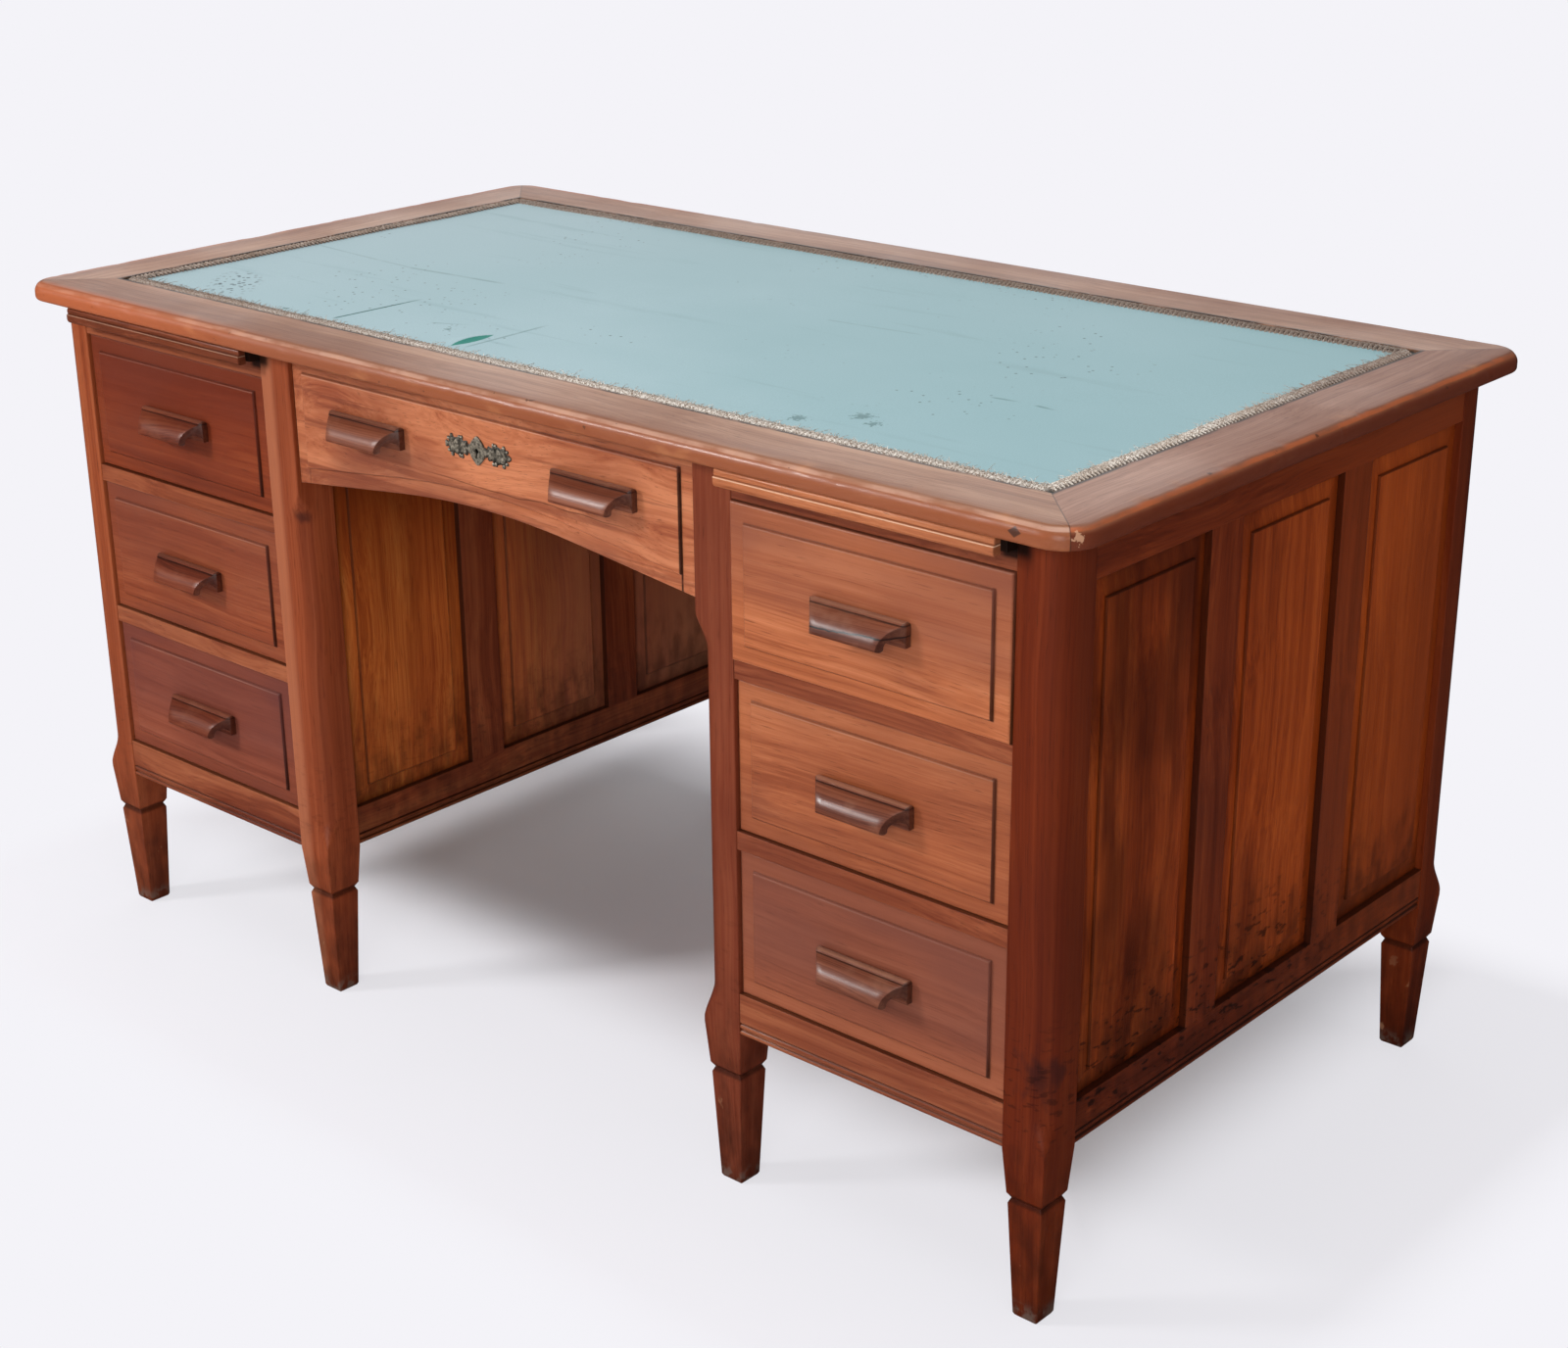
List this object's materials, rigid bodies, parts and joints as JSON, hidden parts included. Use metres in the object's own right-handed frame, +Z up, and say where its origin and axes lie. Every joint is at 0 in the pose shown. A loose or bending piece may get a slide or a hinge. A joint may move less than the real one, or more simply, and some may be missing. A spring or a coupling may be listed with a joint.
{
  "type": "pedestal desk",
  "caption": "Varnished hardwood pedestal desk with panelled sides, tapered feet, drawers with moulded pulls, pull-out writing slides, a drawer lock and an inset leathercloth top.",
  "frame": {"origin": "on the floor, under the middle of the desk's whole length and depth, pulls included", "axes": "+X to the right for a person facing the drawers, +Y from the drawers to the back, +Z up"},
  "size_m": [1.452, 0.782, 0.775],
  "materials": {
    "carcass_wood": "worn gloss varnish",
    "panel_wood": "worn gloss varnish",
    "top_border_wood": "worn gloss varnish",
    "drawer_front_wood": "gloss varnish",
    "pull_wood": "gloss varnish",
    "lining_wood": "bare planed",
    "leathercloth": "worn matt",
    "bronze": "dark cast patina",
    "steel": "dull"
  },
  "bodies": {
    "carcass": {"top_front_rail": "top_border_wood", "top_right_rail": "top_border_wood", "top_back_rail": "top_border_wood", "top_left_rail": "top_border_wood", "top_panel": "lining_wood", "writing_surface": "leathercloth", "left_outer_front_post": "carcass_wood", "left_inner_front_post": "carcass_wood", "right_inner_front_post": "carcass_wood", "right_outer_front_post": "carcass_wood", "left_outer_back_post": "carcass_wood", "left_inner_back_post": "carcass_wood", "right_inner_back_post": "carcass_wood", "right_outer_back_post": "carcass_wood", "left_outer_side_frame": "carcass_wood", "left_outer_side_panels": "panel_wood", "left_inner_side_frame": "carcass_wood", "left_inner_side_panels": "panel_wood", "right_inner_side_frame": "carcass_wood", "right_inner_side_panels": "panel_wood", "right_outer_side_frame": "carcass_wood", "right_outer_side_panels": "panel_wood", "left_back_frame": "carcass_wood", "left_back_panels": "panel_wood", "right_back_frame": "carcass_wood", "right_back_panels": "panel_wood", "knee_back_frame": "carcass_wood", "knee_back_panels": "panel_wood", "left_front_rails": "carcass_wood", "left_runners": "lining_wood", "right_front_rails": "carcass_wood", "right_runners": "lining_wood"},
    "left_bottom_drawer": {"left_bottom_drawer_front": "drawer_front_wood", "left_bottom_drawer_box": "lining_wood", "left_bottom_drawer_pull": "pull_wood"},
    "left_middle_drawer": {"left_middle_drawer_front": "drawer_front_wood", "left_middle_drawer_box": "lining_wood", "left_middle_drawer_pull": "pull_wood"},
    "left_top_drawer": {"left_top_drawer_front": "drawer_front_wood", "left_top_drawer_box": "lining_wood", "left_top_drawer_pull": "pull_wood"},
    "right_bottom_drawer": {"right_bottom_drawer_front": "drawer_front_wood", "right_bottom_drawer_box": "lining_wood", "right_bottom_drawer_pull": "pull_wood"},
    "right_middle_drawer": {"right_middle_drawer_front": "drawer_front_wood", "right_middle_drawer_box": "lining_wood", "right_middle_drawer_pull": "pull_wood"},
    "right_top_drawer": {"right_top_drawer_front": "drawer_front_wood", "right_top_drawer_box": "lining_wood", "right_top_drawer_pull": "pull_wood"},
    "centre_drawer": {"centre_drawer_front": "drawer_front_wood", "centre_drawer_box": "lining_wood", "centre_drawer_pulls": "pull_wood", "escutcheon": "bronze", "lock_case": "steel"},
    "lock_bolt": {"lock_bolt": "steel"},
    "left_writing_slide": {"left_slide_board": "lining_wood", "left_slide_lip": "carcass_wood"},
    "right_writing_slide": {"right_slide_board": "lining_wood", "right_slide_lip": "carcass_wood"}
  },
  "joints": [
    {"name": "left_bottom_drawer_slide", "type": "slide", "parent": "carcass", "child": "left_bottom_drawer", "axis": [0, -1, 0], "range_m": [0, 0.42]},
    {"name": "left_middle_drawer_slide", "type": "slide", "parent": "carcass", "child": "left_middle_drawer", "axis": [0, -1, 0], "range_m": [0, 0.42]},
    {"name": "left_top_drawer_slide", "type": "slide", "parent": "carcass", "child": "left_top_drawer", "axis": [0, -1, 0], "range_m": [0, 0.42]},
    {"name": "right_bottom_drawer_slide", "type": "slide", "parent": "carcass", "child": "right_bottom_drawer", "axis": [0, -1, 0], "range_m": [0, 0.42]},
    {"name": "right_middle_drawer_slide", "type": "slide", "parent": "carcass", "child": "right_middle_drawer", "axis": [0, -1, 0], "range_m": [0, 0.42]},
    {"name": "right_top_drawer_slide", "type": "slide", "parent": "carcass", "child": "right_top_drawer", "axis": [0, -1, 0], "range_m": [-0.007, 0.42]},
    {"name": "centre_drawer_slide", "type": "slide", "parent": "carcass", "child": "centre_drawer", "axis": [0, -1, 0], "range_m": [0, 0.35]},
    {"name": "lock_bolt_slide", "type": "slide", "parent": "centre_drawer", "child": "lock_bolt", "axis": [0, 0, 1], "range_m": [0, 0.007]},
    {"name": "left_writing_slide_slide", "type": "slide", "parent": "carcass", "child": "left_writing_slide", "axis": [0, -1, 0], "range_m": [-0.0117, 0.32]},
    {"name": "right_writing_slide_slide", "type": "slide", "parent": "carcass", "child": "right_writing_slide", "axis": [0, -1, 0], "range_m": [-0.0117, 0.32]}
  ]
}
